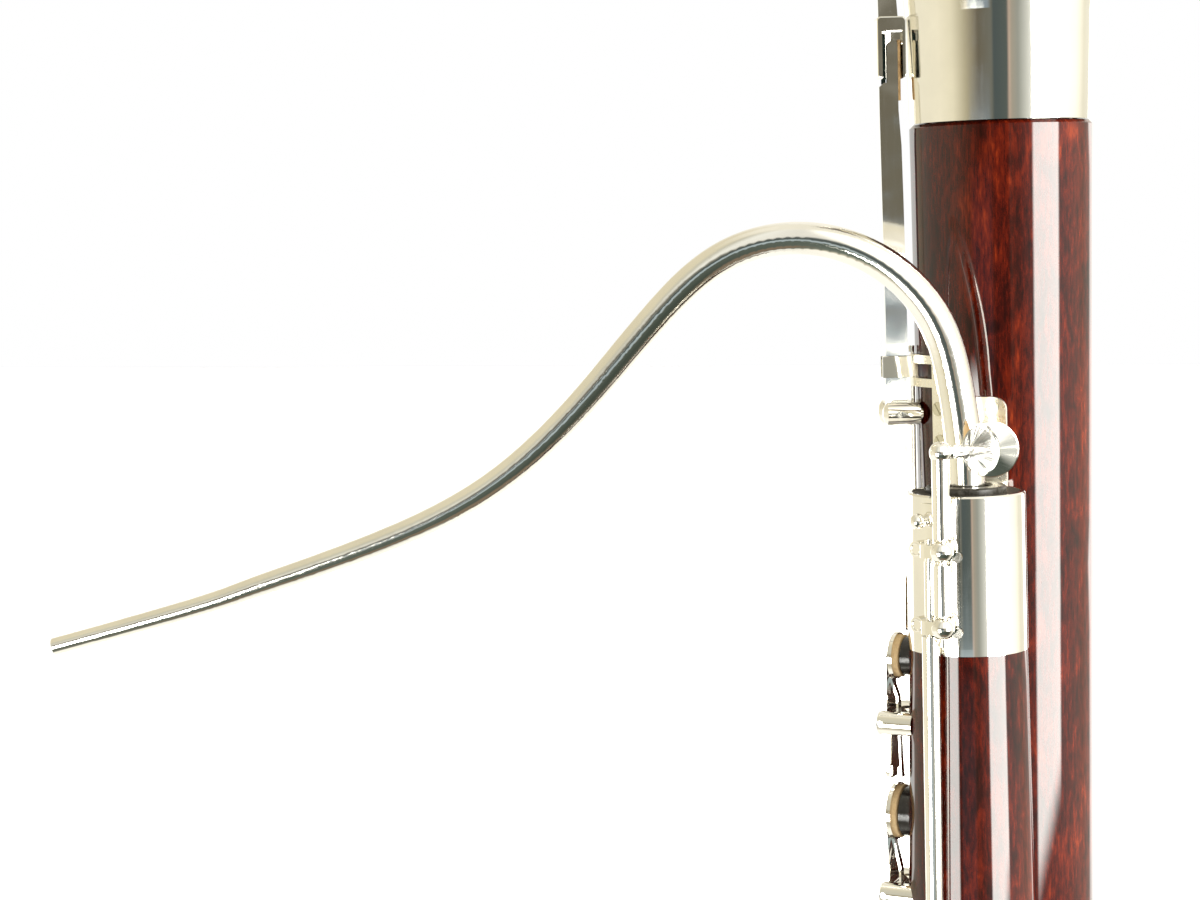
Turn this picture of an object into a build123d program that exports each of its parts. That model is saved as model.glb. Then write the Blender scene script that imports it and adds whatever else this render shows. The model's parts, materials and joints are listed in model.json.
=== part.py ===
from build123d import *
import os

os.makedirs("parts", exist_ok=True)

# ---------------------------------------------------------------- sizes, mm
# The instrument stands on the boot.  The wing joint rises at -Y and the long
# joint at +Y.  The thumb side is -X and the finger side is +X.

bore_spacing = 43.0
wing_y = -bore_spacing / 2
long_y = bore_spacing / 2

boot_height = 435.0
boot_radius = 28.0
boot_cap_height = 62.0
boot_band_height = 30.0
boot_wood_foot = 52.0
bow_tube_radius = 9.0
bow_plate_thickness = 4.0

wing_top = 905.0
wing_cap_height = 43.0
wing_tenon_radius = 13.5
wing_tenon_length = 36.0
wing_bore_top = 3.0
wing_bore_foot = 6.0
crook_socket_radius = 6.5
cap_rim_inside = 14.7

long_top = 1005.6
long_top_radius = 26.0
long_foot_radius = 21.5
long_tenon_radius = 17.0
long_tenon_length = 48.0
bell_tenon_radius = 20.5
bell_tenon_length = 34.0

bell_top = 1345.0
bell_band_top = 1060.0

hinge_rod_radius = 1.0
hinge_bore_radius = 1.05
hinge_tube_radius = 2.4
pad_thickness = 2.2
hinge_stand = 5.5
seat_gap = 0.3
rocker_width = 8.4
rocker_post_aside = 7.8

bocal_turn = 193.8
bocal_tip_radius = 2.45
bocal_base_radius = 5.2
bocal_wall = 0.55


sunk = (Align.CENTER, Align.CENTER, Align.MAX)
raised = (Align.CENTER, Align.CENTER, Align.MIN)

# Turn and height of each screw in the lock plate.
lock_screws = ((276.6, 926.3), (240.0, 925.7), (241.0, 916.4))


# ---------------------------------------------------------------- surfaces
def between(height, low, high):
    """Straight-line value at a height between two (height, value) stations."""
    share = (height - low[0]) / (high[0] - low[0])
    return low[1] + share * (high[1] - low[1])


def wing_radius(height):
    """Outer radius of the wing joint wood."""
    if height > 785:
        return between(height, (785, 17.4), (wing_top, 15.4))
    return 17.4


def long_radius(height):
    """Outer radius of the long joint wood."""
    if height > 880:
        return between(height, (880, 24.8), (long_top, long_top_radius))
    return between(height, (boot_height, long_foot_radius), (880, 24.8))


def radial(axis_y, turn, radius, height, aside=0.0):
    """Place on a joint whose local Z points straight out of the wood."""
    spin = Location((0, axis_y, 0), (0, 0, turn))
    return spin * Location((radius, aside, height), (0, 90, 0))


def spot(axis_y, turn, radius, height=0.0):
    """Point at a turn, radius and height round a joint axis."""
    place = Location((0, axis_y, 0), (0, 0, turn)) * Location((radius, 0, height))
    return place.position


def on_joint(piece, axis_y, turn):
    """Carry a piece built facing +X round to its place on a joint."""
    return Location((0, axis_y, 0), (0, 0, turn)) * piece


# ---------------------------------------------------------------- keywork
def cup_shape(face, cup_radius, height, pad_depth=pad_thickness):
    """Domed pad cup looking along +X, open towards the wood."""
    floor = face + pad_depth
    with BuildPart() as cup:
        with BuildSketch(Plane.XZ):
            with BuildLine():
                a = Line((floor, 0), (floor, cup_radius - 0.6))
                b = Line(a @ 1, (floor - 1.3, cup_radius - 0.6))
                c = Line(b @ 1, (floor - 1.3, cup_radius))
                d = Line(c @ 1, (floor, cup_radius))
                e = Spline(d @ 1, (floor + 1.0, cup_radius * 0.55), (floor + 1.4, 0))
                Line(e @ 1, a @ 0)
            make_face()
        revolve(axis=Axis.X)
    return Location((0, 0, height)) * cup.part


def pad_shape(face, cup_radius, height, pad_depth=pad_thickness):
    """Pad disc that sits in the cup, its face towards the wood."""
    with BuildPart() as pad:
        with Locations(Location((face, 0, height), (0, 90, 0))):
            Cylinder(cup_radius - 0.6, pad_depth, align=raised)
        fillet(pad.edges().group_by(Axis.X)[0], 0.5)
    return pad.part


def rocker_key(
    face, cup_radius, pad_z, pivot_x, pivot_z, touch_x, touch_z, pad_depth=pad_thickness
):
    """Lever on a crosswise pin: pad cup at one end, finger touch at the other."""
    back = face + pad_depth + 1.1
    side = 1 if pad_z > pivot_z else -1
    with BuildPart() as key:
        with BuildSketch(Plane.XZ):
            with BuildLine():
                Polyline(
                    (back, pad_z),
                    (back, pad_z - side * cup_radius * 0.7),
                    (pivot_x + 0.6, pivot_z + side * 4),
                    (pivot_x + 0.6, pivot_z - side * 4),
                    (touch_x, touch_z + side * 8),
                    (touch_x, touch_z - side * 6),
                    (touch_x + 1.3, touch_z - side * 6),
                    (touch_x + 1.4, touch_z + side * 8),
                    (pivot_x + 2.2, pivot_z - side * 4),
                    (pivot_x + 2.2, pivot_z + side * 4),
                    (back + 1.4, pad_z - side * cup_radius * 0.7),
                    (back + 1.0, pad_z),
                    close=True,
                )
            make_face()
        extrude(amount=rocker_width / 2, both=True)
        ends = key.edges().filter_by(Axis.X).group_by(Axis.Z)
        fillet(ends[0 if side > 0 else -1], rocker_width * 0.3)
        with Locations(Location((pivot_x, 0, pivot_z), (90, 0, 0))):
            Cylinder(hinge_tube_radius, rocker_width)
            Cylinder(hinge_bore_radius, rocker_width + 1, mode=Mode.SUBTRACT)
    return key.part + cup_shape(face, cup_radius, pad_z, pad_depth)


def rod_key(key):
    """Key on an upright hinge tube standing in front of the local X axis.

    The pad and the touch have their own places, told as frames from the hinge.
    """
    surface = key["surface"]
    low = key["low"]
    high = key["high"]
    hinge_x = surface + hinge_stand
    with BuildPart() as tube:
        with Locations((hinge_x, 0, (low + high) / 2)):
            Cylinder(hinge_tube_radius, high - low)
    pad_end = key["pad_frame"] * Location((surface + seat_gap + 3.9, 0, key["pad_z"]))
    touch_end = key["touch_frame"] * Location((surface + 7.6, 0, key["touch_z"]))
    with BuildPart() as arms:
        for end, reach in ((pad_end, 1.0), (touch_end, 1.3)):
            point = end.position
            with BuildSketch(Plane.XY.offset(point.Z)):
                with Locations((hinge_x, 0)):
                    Circle(hinge_tube_radius + 0.4)
                with Locations((point.X, point.Y)):
                    Circle(reach)
                make_hull()
            extrude(amount=2.2, both=True)
    with BuildPart() as touch:
        with BuildSketch(Plane.YZ.offset(surface + 7.6)):
            with Locations((0, key["touch_z"])):
                SlotOverall(30, 11, rotation=90)
        extrude(amount=1.6)
        fillet(touch.faces().sort_by(Axis.X)[-1].edges(), 0.6)
    with BuildPart() as bore:
        with Locations((hinge_x, 0, (low + high) / 2)):
            Cylinder(hinge_bore_radius, high - low + 1)
    cup = key["pad_frame"] * cup_shape(surface + seat_gap, key["cup"], key["pad_z"])
    with BuildPart() as pocket:
        with Locations(Location((surface + seat_gap + 2.2, 0, key["pad_z"]), (0, 90, 0))):
            Cylinder(key["cup"] - 0.6, 8, align=sunk)
    whole = tube.part + arms.part + key["touch_frame"] * touch.part + cup
    return swing(whole - bore.part - key["pad_frame"] * pocket.part, key)


def rod_pad(key):
    """Pad that belongs to a rod key."""
    pad = pad_shape(key["surface"] + seat_gap, key["cup"], key["pad_z"])
    return swing(key["pad_frame"] * pad, key)


def swing(piece, key):
    """Turn a rod key piece about its own upright hinge to where it rests."""
    hinge = Axis((key["surface"] + hinge_stand, 0, 0), (0, 0, 1))
    return piece.rotate(hinge, -key["open"])


def tip(piece, pivot_x, pivot_z, degrees):
    """Turn a rocker key piece about its crosswise pin."""
    return piece.rotate(Axis((pivot_x, 0, pivot_z), (0, 1, 0)), degrees)


def on_key_axis(piece, key):
    """Carry a rod key piece from its own frame to the instrument."""
    return key["home"] * piece


def ball_post(surface, axis_x, upright):
    """Post with a bored ball head; its shank goes 4 mm into the wood."""
    with BuildPart() as post:
        with BuildSketch(Plane.XZ):
            with BuildLine():
                Polyline(
                    (surface - 4, 0),
                    (surface - 4, 1.6),
                    (surface + 0.1, 1.6),
                    (surface + 0.1, 2.6),
                    (surface + 1.0, 2.6),
                    (surface + 2.0, 1.5),
                    (axis_x, 1.5),
                    (axis_x, 0),
                    close=True,
                )
            make_face()
        revolve(axis=Axis.X)
        with Locations((axis_x, 0, 0)):
            Sphere(2.9)
        bore_turn = (0, 0, 0) if upright else (90, 0, 0)
        with Locations(Location((axis_x, 0, 0), bore_turn)):
            Cylinder(hinge_rod_radius, 8, mode=Mode.SUBTRACT)
    return post.part


def pillar_post(surface, axis_x, top_x):
    """Round domed pillar beside a rocker key, bored crosswise for its pin."""
    with BuildPart() as post:
        with BuildSketch(Plane.XZ):
            with BuildLine():
                a = Polyline((surface - 4, 0), (surface - 4, 1.6), (surface + 0.2, 1.6))
                b = Polyline(a @ 1, (surface + 0.2, 3.3), (top_x - 1.4, 3.3))
                c = Spline(b @ 1, (top_x, 0), tangents=((0.7, -1), (0, -1)))
                Line(c @ 1, a @ 0)
            make_face()
        revolve(axis=Axis.X)
        with Locations(Location((axis_x, 0, 0), (90, 0, 0))):
            Cylinder(hinge_rod_radius, 12, mode=Mode.SUBTRACT)
    return post.part


def stand(post, axis_y, turn, height, aside=0.0):
    """Place a post built at the origin on a joint."""
    return Location((0, axis_y, 0), (0, 0, turn)) * Location((0, aside, height)) * post


def group(pieces):
    """One node holding several separate solids."""
    return Compound(children=list(pieces))


# ----------------------------------------------------------- where keys stand
# Each flick station is (pad height, pivot height, cup radius, pad face radius).
flick_turn = 176.0
flick_pivot = 22.0
flick_stations = ((858.4, 840.8, 6.5, 18.4), (814.4, 792.5, 8.0, 19.0))
flick_pad_depth = 3.0
flick_post_foot = 12.9

lever_turn = 205.0
lever_pin_radius = 31.3
lever_pivot_z = 923.8
lever_post_aside = 4.9
lever_post_foot = 25.1
bell_post_foot = 29.5

bell_pivot_z = 1104.0
bell_pin_radius = 33.6


def turned(degrees):
    """Frame turned about the joint axis."""
    return Location((0, 0, 0), (0, 0, degrees))


def shifted(sideways):
    """Frame moved sideways along a flat face."""
    return Location((0, sideways, 0))


thumb_home = Location((0, long_y, 0), (0, 0, 140.0))
finger_home = Location((0, long_y, 0), (0, 0, 8.0))
low_b = dict(
    home=thumb_home, surface=24.7, cup=8.5, pad_z=866, low=640, high=882, touch_z=652,
    pad_frame=turned(35), touch_frame=turned(35), open=11.0,
)
low_c = dict(
    home=thumb_home, surface=22.4, cup=9.5, pad_z=552, low=536, high=626, touch_z=612,
    pad_frame=turned(35), touch_frame=turned(35), open=11.0,
)
low_d = dict(
    home=thumb_home, surface=21.7, cup=9.5, pad_z=462, low=446, high=522, touch_z=508,
    pad_frame=turned(35), touch_frame=turned(35), open=11.0,
)
e_flat = dict(
    home=finger_home, surface=22.5, cup=8.0, pad_z=560, low=546, high=660, touch_z=646,
    pad_frame=turned(25), touch_frame=turned(-33), open=0.0,
)
long_rod_keys = (low_b, low_c, low_d, e_flat)

boot_front = Location((0, 0, 0))
boot_back = Location((0, 0, 0), (0, 0, 180))
boot_f = dict(
    home=boot_front * shifted(-8), surface=boot_radius, cup=12.0, pad_z=112, low=94,
    high=222, touch_z=206, pad_frame=shifted(16.5), touch_frame=shifted(16.5), open=12.0,
)
boot_a_flat = dict(
    home=boot_front * shifted(-1), surface=boot_radius, cup=8.0, pad_z=250, low=238,
    high=302, touch_z=284, pad_frame=shifted(13), touch_frame=shifted(-13), open=0.0,
)
boot_g = dict(
    home=boot_front * shifted(-6), surface=boot_radius, cup=9.0, pad_z=336, low=322,
    high=390, touch_z=372, pad_frame=shifted(14.5), touch_frame=shifted(14.5), open=12.0,
)
boot_e = dict(
    home=boot_back * shifted(-6), surface=boot_radius, cup=12.0, pad_z=262, low=244,
    high=282, touch_z=262, pad_frame=shifted(16), touch_frame=shifted(16), open=12.0,
)
boot_rod_keys = (boot_f, boot_a_flat, boot_g, boot_e)

boot_thumb_pad_z = 352.0
boot_thumb_pivot_z = 328.0
boot_thumb_pin_x = boot_radius + 5.0

whisper_rod_turn = -92.8
whisper_rod_radius = 21.6
lever_rod_turn = -104.0
lever_rod_radius = 20.4
whisper_turn = -54.0
whisper_open = 17.0
whisper_z = 917.5
pip_reach = 9.0
lever_rod_posts = (768.0, 668.0, 606.0)


# ------------------------------------------------------------------- boot
with BuildPart() as boot_wood:
    with BuildSketch(Plane.XY.offset(boot_wood_foot)):
        SlotCenterToCenter(bore_spacing, 2 * boot_radius - 2.2, rotation=90)
    extrude(amount=boot_cap_height - boot_wood_foot)
    with BuildSketch(Plane.XY.offset(boot_cap_height)):
        SlotCenterToCenter(bore_spacing, 2 * boot_radius, rotation=90)
    extrude(amount=boot_height - boot_band_height - boot_cap_height)
    with BuildSketch(Plane.XY.offset(boot_height - boot_band_height)):
        SlotCenterToCenter(bore_spacing, 2 * boot_radius - 2.2, rotation=90)
    extrude(amount=boot_band_height)
    small_bore = Plane.XY.offset(boot_wood_foot)
    with BuildSketch(small_bore):
        with Locations((0, wing_y)):
            Circle(8.6)
    with BuildSketch(Plane.XY.offset(boot_height)):
        with Locations((0, wing_y)):
            Circle(6.6)
    loft(mode=Mode.SUBTRACT)
    with BuildSketch(Plane.XY.offset(boot_wood_foot)):
        with Locations((0, long_y)):
            Circle(9.0)
    with BuildSketch(Plane.XY.offset(boot_height)):
        with Locations((0, long_y)):
            Circle(11.0)
    loft(mode=Mode.SUBTRACT)
    with Locations((0, wing_y, boot_height)):
        Cylinder(
            wing_tenon_radius + 1.2,
            wing_tenon_length + 0.4,
            align=sunk,
            mode=Mode.SUBTRACT,
        )
    with Locations((0, long_y, boot_height)):
        Cylinder(
            long_tenon_radius + 1.2,
            long_tenon_length + 0.4,
            align=sunk,
            mode=Mode.SUBTRACT,
        )
    for key in boot_rod_keys:
        pad_place = key["home"] * key["pad_frame"]
        with Locations(pad_place * Location((boot_radius, 0, key["pad_z"]), (0, 90, 0))):
            Cylinder(key["cup"] - 3.5, boot_radius, align=sunk, mode=Mode.SUBTRACT)
        for height in (key["low"] - 3.3, key["high"] + 3.3):
            with Locations(key["home"] * Location((boot_radius, 0, height), (0, 90, 0))):
                Cylinder(1.6, 4, align=sunk, mode=Mode.SUBTRACT)
    with Locations(Location((-boot_radius, 0, boot_thumb_pad_z), (0, -90, 0))):
        Cylinder(4.0, boot_radius, align=sunk, mode=Mode.SUBTRACT)
    for aside in (-rocker_post_aside, rocker_post_aside):
        with Locations(Location((-boot_radius, aside, boot_thumb_pivot_z), (0, -90, 0))):
            Cylinder(1.6, 4, align=sunk, mode=Mode.SUBTRACT)

with BuildPart() as boot_cap:
    with BuildSketch():
        SlotCenterToCenter(bore_spacing, 2 * boot_radius + 2, rotation=90)
    extrude(amount=boot_cap_height)
    fillet(boot_cap.faces().sort_by(Axis.Z)[0].edges(), 3)
    with BuildSketch(Plane.XY.offset(1.5)):
        SlotCenterToCenter(bore_spacing, 2 * boot_radius - 2.2, rotation=90)
    extrude(amount=boot_cap_height, mode=Mode.SUBTRACT)
    chamfer(boot_cap.faces().sort_by(Axis.Z)[-1].edges().sort_by(SortBy.LENGTH)[-2:], 0.4)

with BuildPart() as boot_band:
    with BuildSketch(Plane.XY.offset(boot_height - boot_band_height)):
        SlotCenterToCenter(bore_spacing, 2 * boot_radius + 0.8, rotation=90)
        SlotCenterToCenter(
            bore_spacing, 2 * boot_radius - 2.2, rotation=90, mode=Mode.SUBTRACT
        )
    extrude(amount=boot_band_height)

with BuildPart() as bow_plate_gasket:
    with BuildSketch(Plane.XY.offset(boot_wood_foot - 1.5)):
        SlotCenterToCenter(bore_spacing, 2 * boot_radius - 8, rotation=90)
        with Locations((0, wing_y), (0, long_y)):
            Circle(bow_tube_radius, mode=Mode.SUBTRACT)
    extrude(amount=1.5)

with BuildPart() as u_tube:
    plate_z = boot_wood_foot - 1.5 - bow_plate_thickness
    with BuildSketch(Plane.XY.offset(plate_z)):
        SlotCenterToCenter(bore_spacing, 2 * boot_radius - 8, rotation=90)
    extrude(amount=bow_plate_thickness)
    with BuildSketch(Plane.XY.offset(plate_z)):
        with Locations((0, long_y)):
            Circle(bow_tube_radius + 1)
    bend = Axis((0, 0, plate_z), (1, 0, 0))
    revolve(axis=bend, revolution_arc=-180)
    with BuildSketch(Plane.XY.offset(plate_z)):
        with Locations((0, long_y)):
            Circle(bow_tube_radius)
    revolve(axis=bend, revolution_arc=-180, mode=Mode.SUBTRACT)
    for side_y in (wing_y, long_y):
        with Locations((0, side_y, plate_z)):
            Cylinder(
                bow_tube_radius,
                bow_plate_thickness,
                align=raised,
                mode=Mode.SUBTRACT,
            )

with BuildPart() as strap_ring:
    with BuildSketch(Plane.XY.offset(417)):
        with Locations((-boot_radius - 9.0, 0)):
            Circle(6.0)
            Circle(3.8, mode=Mode.SUBTRACT)
    extrude(amount=1.3, both=True)
    fillet(strap_ring.edges().filter_by(GeomType.CIRCLE).sort_by(SortBy.RADIUS)[-2:], 1.0)
    with Locations(Location((-boot_radius - 1.9, 0, 417), (0, 90, 0))):
        Cylinder(2.2, 3.0)
    with Locations(Location((-boot_radius - 0.8, 0, 417), (0, 90, 0))):
        Cylinder(6.0, 0.8)


# ------------------------------------------------------------- wing joint
with BuildPart() as wing_wood:
    with BuildSketch(Plane.XZ):
        with BuildLine():
            Polyline(
                (0, boot_height - wing_tenon_length),
                (wing_tenon_radius, boot_height - wing_tenon_length),
                (wing_tenon_radius, boot_height),
                (wing_radius(600), boot_height),
                (wing_radius(600), 785),
                (wing_radius(wing_top - wing_cap_height), wing_top - wing_cap_height),
                (15.1, wing_top - wing_cap_height),
                (15.1, wing_top - 1.2),
                (0, wing_top - 1.2),
                close=True,
            )
        make_face()
    revolve(axis=Axis.Z)
    for height, shift, reach, depth in (
        (486, 0, 12, 12),
        (530, 8, 18, 15),
        (650, 8, 18, 15),
        (716, 0, 12, 12),
    ):
        with BuildSketch(Plane.XY.offset(height)):
            with Locations((shift, shift * 0.25)):
                Ellipse(reach, depth, rotation=14)
    loft()
    with Locations((0, bore_spacing, 600)):
        Cylinder(bore_spacing - 18.6, 340, mode=Mode.SUBTRACT)
    with BuildSketch(Plane.XY.offset(boot_height - wing_tenon_length)):
        Circle(wing_bore_foot + 1.5)
    with BuildSketch(Plane.XY.offset(wing_top - 1.2)):
        Circle(wing_bore_top + 1.5)
    loft(mode=Mode.SUBTRACT)
    with Locations((0, 0, wing_top)):
        Cylinder(crook_socket_radius + 1, 31, align=sunk, mode=Mode.SUBTRACT)
    for height in (540, 590, 640):
        with Locations(Location((10, 2, height), (0, 70, 18))):
            Cylinder(3.2, 60, align=raised, mode=Mode.SUBTRACT)
    for pad_z, pivot_z, cup, face in flick_stations:
        with Locations(radial(0, flick_turn, 0, pad_z)):
            Cylinder(cup - 1.2, 18, align=raised, mode=Mode.SUBTRACT)
        for aside in (-rocker_post_aside, rocker_post_aside):
            with Locations(radial(0, flick_turn, flick_post_foot + 0.2, pivot_z, aside)):
                Cylinder(1.6, 4.2, align=sunk, mode=Mode.SUBTRACT)
                Cylinder(3.3, 6, align=raised, mode=Mode.SUBTRACT)
    for height in lever_rod_posts:
        with Locations(radial(0, lever_rod_turn, wing_radius(height) + 1, height)):
            Cylinder(1.6, 5, align=sunk, mode=Mode.SUBTRACT)

wing_joint_wood = on_joint(wing_wood.part, wing_y, 0)

with BuildPart() as wing_lining:
    with BuildSketch(Plane.XY.offset(boot_height - wing_tenon_length)):
        Circle(wing_bore_foot + 1.5)
    with BuildSketch(Plane.XY.offset(wing_top - 1.2)):
        Circle(wing_bore_top + 1.5)
    loft()
    with Locations((0, 0, wing_top - 1.2)):
        Cylinder(crook_socket_radius + 1, 29.8, align=sunk)
        Cylinder(cap_rim_inside, 1.0, align=raised)
    with BuildSketch(Plane.XY.offset(boot_height - wing_tenon_length)):
        Circle(wing_bore_foot)
    with BuildSketch(Plane.XY.offset(wing_top - 1.2)):
        Circle(wing_bore_top)
    loft(mode=Mode.SUBTRACT)
    with Locations((0, 0, wing_top)):
        Cylinder(crook_socket_radius, 27, align=sunk, mode=Mode.SUBTRACT)
    for height in (540, 590, 640):
        with Locations(Location((10, 2, height), (0, 70, 18))):
            Cylinder(3.2, 60, mode=Mode.SUBTRACT)
    for pad_z, pivot_z, cup, face in flick_stations:
        with Locations(radial(0, flick_turn, 0, pad_z)):
            Cylinder(3.0, 18, align=raised, mode=Mode.SUBTRACT)

with BuildPart() as wing_cap:
    with BuildSketch(Plane.XZ):
        with BuildLine():
            Polyline(
                (15.1, wing_top - wing_cap_height),
                (16.3, wing_top - wing_cap_height),
                (16.3, wing_top - wing_cap_height + 2),
                (16.0, wing_top - 0.5),
                (15.6, wing_top),
                (cap_rim_inside, wing_top),
                (cap_rim_inside, wing_top - 1.2),
                (15.1, wing_top - 1.2),
                close=True,
            )
        make_face()
    revolve(axis=Axis.Z)
    upper_pad_z, upper_pivot_z, upper_cup, upper_face = flick_stations[0]
    with Locations(radial(0, flick_turn, 8, upper_pad_z)):
        Cylinder(upper_cup - 1.2, 14, align=raised, mode=Mode.SUBTRACT)

collar_seat = wing_top - 0.2
collar_top = wing_top + 1.6
with BuildPart() as bocal_collar:
    with BuildSketch(Plane.XZ):
        with BuildLine():
            a = Polyline((6.6, collar_seat), (10.9, collar_seat), (10.9, collar_top - 0.8))
            b = ThreePointArc(a @ 1, (10.67, collar_top - 0.23), (10.1, collar_top))
            c = Polyline(b @ 1, (7.2, collar_top), (6.6, collar_top - 0.5))
            Line(c @ 1, a @ 0)
        make_face()
    revolve(axis=Axis.Z)

with BuildPart() as wing_tenon_winding:
    with Locations((0, 0, boot_height - 5)):
        Cylinder(
            wing_tenon_radius + 1.2,
            wing_tenon_length - 10,
            align=sunk,
        )
        Cylinder(
            wing_tenon_radius,
            wing_tenon_length - 10,
            align=sunk,
            mode=Mode.SUBTRACT,
        )

tone_bushes = []
for pad_z, pivot_z, cup, face in flick_stations:
    with BuildPart() as bush:
        with Locations(radial(0, flick_turn, face - seat_gap, pad_z)):
            Cylinder(cup - 1.2, 8.4, align=sunk)
            Cylinder(3.0, 20, mode=Mode.SUBTRACT)
    tone_bushes.append(on_joint(bush.part, wing_y, 0))

flick_posts = []
for pad_z, pivot_z, cup, face in flick_stations:
    for aside in (-rocker_post_aside, rocker_post_aside):
        post = pillar_post(flick_post_foot, flick_pivot, 24.3)
        flick_posts.append(stand(post, wing_y, flick_turn, pivot_z, aside))

flick_keys = []
flick_pads = []
for pad_z, pivot_z, cup, face in flick_stations:
    touch_z = pivot_z - 10.8
    key = rocker_key(
        face, cup, pad_z, flick_pivot, pivot_z, 21.9, touch_z, pad_depth=flick_pad_depth
    )
    with BuildPart() as blades:
        with BuildSketch(Plane.XZ):
            with BuildLine():
                Polyline(
                    (23.0, pad_z - cup + 0.2),
                    (22.1, pad_z - cup + 0.2),
                    (20.2, pivot_z + 6.0),
                    (20.2, pivot_z + 1.0),
                    (20.8, pivot_z + 1.0),
                    (20.8, pivot_z + 5.8),
                    close=True,
                )
            make_face()
            with BuildLine():
                Polyline(
                    (20.1, pivot_z - 0.8),
                    (19.6, pivot_z - 14.0),
                    (19.5, pivot_z - 16.8),
                    (20.6, pivot_z - 16.8),
                    (20.6, pivot_z - 14.0),
                    (20.0, pivot_z - 13.6),
                    (20.6, pivot_z - 0.8),
                    close=True,
                )
            make_face()
        extrude(amount=1.2, both=True)
    flick_keys.append(on_joint(key + blades.part, wing_y, flick_turn))
    pad = pad_shape(face, cup, pad_z, flick_pad_depth)
    flick_pads.append(on_joint(pad, wing_y, flick_turn))


# ----------------------------------------------------- whisper key mechanism

whisper_axis = spot(wing_y, whisper_rod_turn, whisper_rod_radius)
lever_axis = spot(wing_y, lever_rod_turn, lever_rod_radius)
saddle_levels = (891.0, 870.5)
saddle_inside = 16.35
saddle_outside = 17.1

with BuildPart() as whisper_saddle:
    with BuildSketch(Plane.XY.offset(865)):
        with BuildLine():
            inner = CenterArc((0, wing_y), saddle_inside, -121, 39)
            outer = CenterArc((0, wing_y), saddle_outside, -121, 39)
            Line(inner @ 0, outer @ 0)
            Line(inner @ 1, outer @ 1)
        make_face()
    extrude(amount=38)
    for level in saddle_levels:
        with Locations((whisper_axis.X, whisper_axis.Y, level)):
            Sphere(3.2)
        with Locations(radial(wing_y, whisper_rod_turn, saddle_outside - 0.3, level)):
            Cylinder(1.5, 3.0, align=raised)
        with BuildSketch(Plane.XY.offset(level)):
            with Locations((whisper_axis.X, whisper_axis.Y)):
                Circle(1.9)
            with Locations((lever_axis.X, lever_axis.Y)):
                Circle(2.6)
            make_hull()
        extrude(amount=1.8, both=True)
        with Locations(radial(wing_y, -117, saddle_outside - 0.4, level)):
            Cylinder(2.3, 3.6, align=raised)
        with Locations(radial(wing_y, -117, saddle_outside + 3.2, level)):
            Torus(1.6, 0.25)
        with Locations((whisper_axis.X, whisper_axis.Y, level)):
            Cylinder(hinge_bore_radius + 0.2, 8, mode=Mode.SUBTRACT)
        with Locations((lever_axis.X, lever_axis.Y, level)):
            Cylinder(hinge_bore_radius + 0.2, 8, mode=Mode.SUBTRACT)
        with Locations(radial(wing_y, -84, saddle_outside - 0.3, level - 2)):
            Cylinder(1.4, 0.9, align=raised)
    with Locations(radial(wing_y, -116, saddle_outside - 0.4, 898.5)):
        Cylinder(1.2, 1.6, align=raised)
    with Locations(spot(wing_y, -116, saddle_outside + 2.6, 898.5)):
        Sphere(2.15)

with BuildPart() as whisper_rod:
    with BuildSketch(Plane.XZ):
        with BuildLine():
            Polyline(
                (0, 865.8),
                (1.7, 865.8),
                (1.7, 866.8),
                (1.2, 866.8),
                (1.2, 874.0),
                (2.45, 874.0),
                (2.45, 887.5),
                (1.2, 887.5),
                (1.2, 894.5),
                (2.45, 894.5),
                (2.45, whisper_z),
                (0, whisper_z),
                close=True,
            )
        make_face()
    revolve(axis=Axis.Z)
    with Locations((0, 0, whisper_z)):
        Sphere(3.0)

with BuildPart() as whisper_cup:
    with BuildSketch(Plane.XZ):
        with BuildLine():
            face = pip_reach + seat_gap
            Polyline(
                (face + 2.0, 0),
                (face + 2.0, 6.7),
                (face + 0.9, 6.7),
                (face + 0.9, 7.5),
                (face + 2.3, 7.5),
                (face + 2.5, 7.2),
                (face + 4.0, 0),
                close=True,
            )
        make_face()
    revolve(axis=Axis.X)
whisper_cup_closed = Location((0, wing_y, whisper_z), (0, 0, whisper_turn)) * whisper_cup.part

cup_peak = spot(wing_y, whisper_turn, pip_reach + seat_gap + 3.6, whisper_z)
with BuildPart() as whisper_arm:
    arm_line = Edge.make_line(
        (whisper_axis.X, whisper_axis.Y, whisper_z), (cup_peak.X, cup_peak.Y, whisper_z)
    )
    near = Plane(arm_line @ 0, x_dir=(0, 0, 1), z_dir=arm_line % 0)
    with BuildSketch(near):
        Ellipse(1.85, 1.3)
    with BuildSketch(near.offset(arm_line.length * 0.55)):
        Ellipse(1.5, 1.1)
    with BuildSketch(near.offset(arm_line.length)):
        Ellipse(0.45, 0.4)
    loft()

whisper_key_closed = (
    Location((whisper_axis.X, whisper_axis.Y, 0)) * whisper_rod.part
    + whisper_arm.part
    + whisper_cup_closed
)

with BuildPart() as whisper_pad_disc:
    with Locations(Location((pip_reach + seat_gap, 0, whisper_z), (0, 90, 0))):
        Cylinder(6.7, 2.0, align=raised)
    fillet(whisper_pad_disc.edges().group_by(Axis.X)[0], 0.5)
whisper_pad_closed = on_joint(whisper_pad_disc.part, wing_y, whisper_turn)

whisper_hinge = Axis((whisper_axis.X, whisper_axis.Y, 0), (0, 0, 1))
whisper_key = whisper_key_closed.rotate(whisper_hinge, -whisper_open)
whisper_pad = whisper_pad_closed.rotate(whisper_hinge, -whisper_open)

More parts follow.
